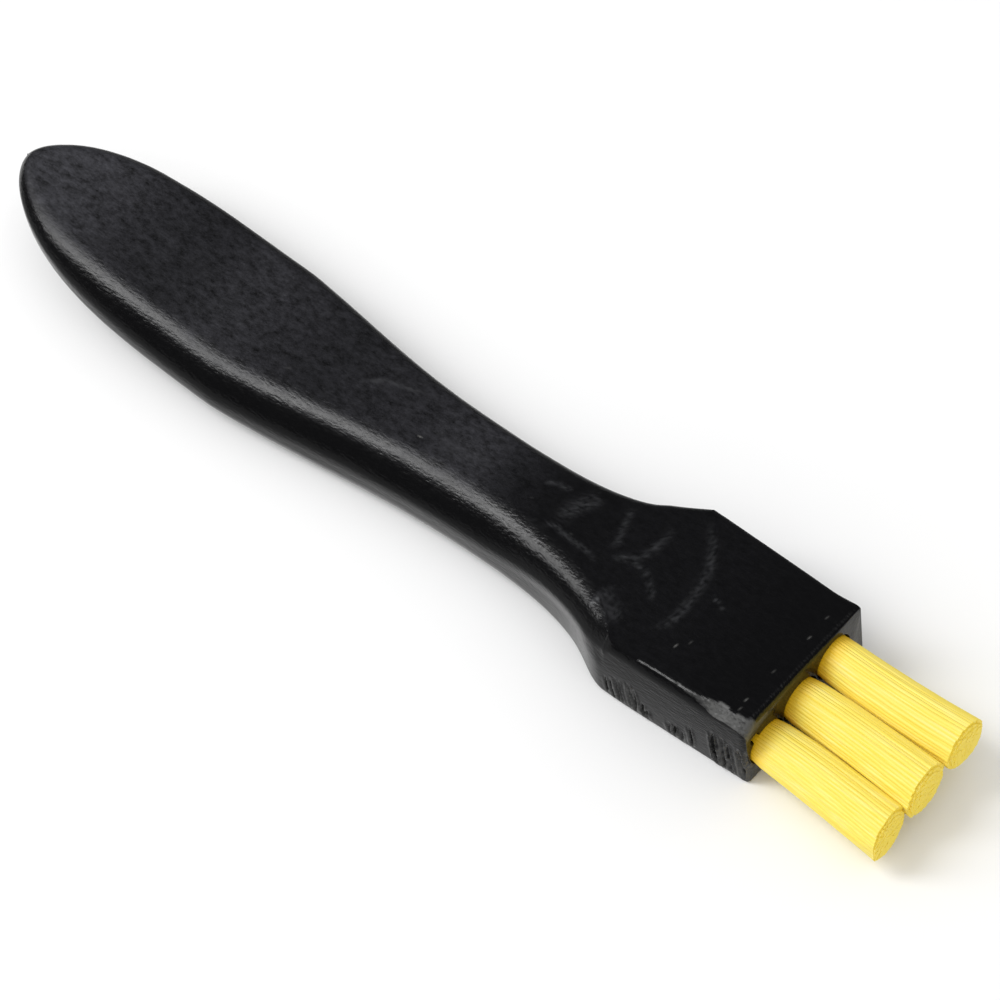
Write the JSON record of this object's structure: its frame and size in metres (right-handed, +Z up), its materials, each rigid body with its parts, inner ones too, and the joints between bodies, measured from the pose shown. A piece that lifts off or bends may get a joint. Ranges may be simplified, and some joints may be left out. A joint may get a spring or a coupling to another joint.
{
  "type": "anti-static brush",
  "caption": "Small hand brush with a flat paddle grip, a narrow neck and a block head that holds a row of filament tufts, for dusting static-sensitive parts.",
  "frame": {"origin": "under the middle of the brush, on the surface that it lies on", "axes": "+X from the end of the grip to the cut ends of the filaments, +Z up from the flat underside of the head, -Y the near side in the picture"},
  "size_m": [0.15, 0.0228, 0.0118],
  "materials": {
    "handle_plastic": "black conductive plastic, satin, with a fine lengthwise grain",
    "filament": "bright yellow nylon, slightly translucent",
    "anchor_metal": "plain flat wire"
  },
  "bodies": {
    "root": {"handle": "handle_plastic", "tuft_near": "filament", "tuft_middle": "filament", "tuft_far": "filament", "anchor_near": "anchor_metal", "anchor_middle": "anchor_metal", "anchor_far": "anchor_metal"}
  },
  "joints": []
}
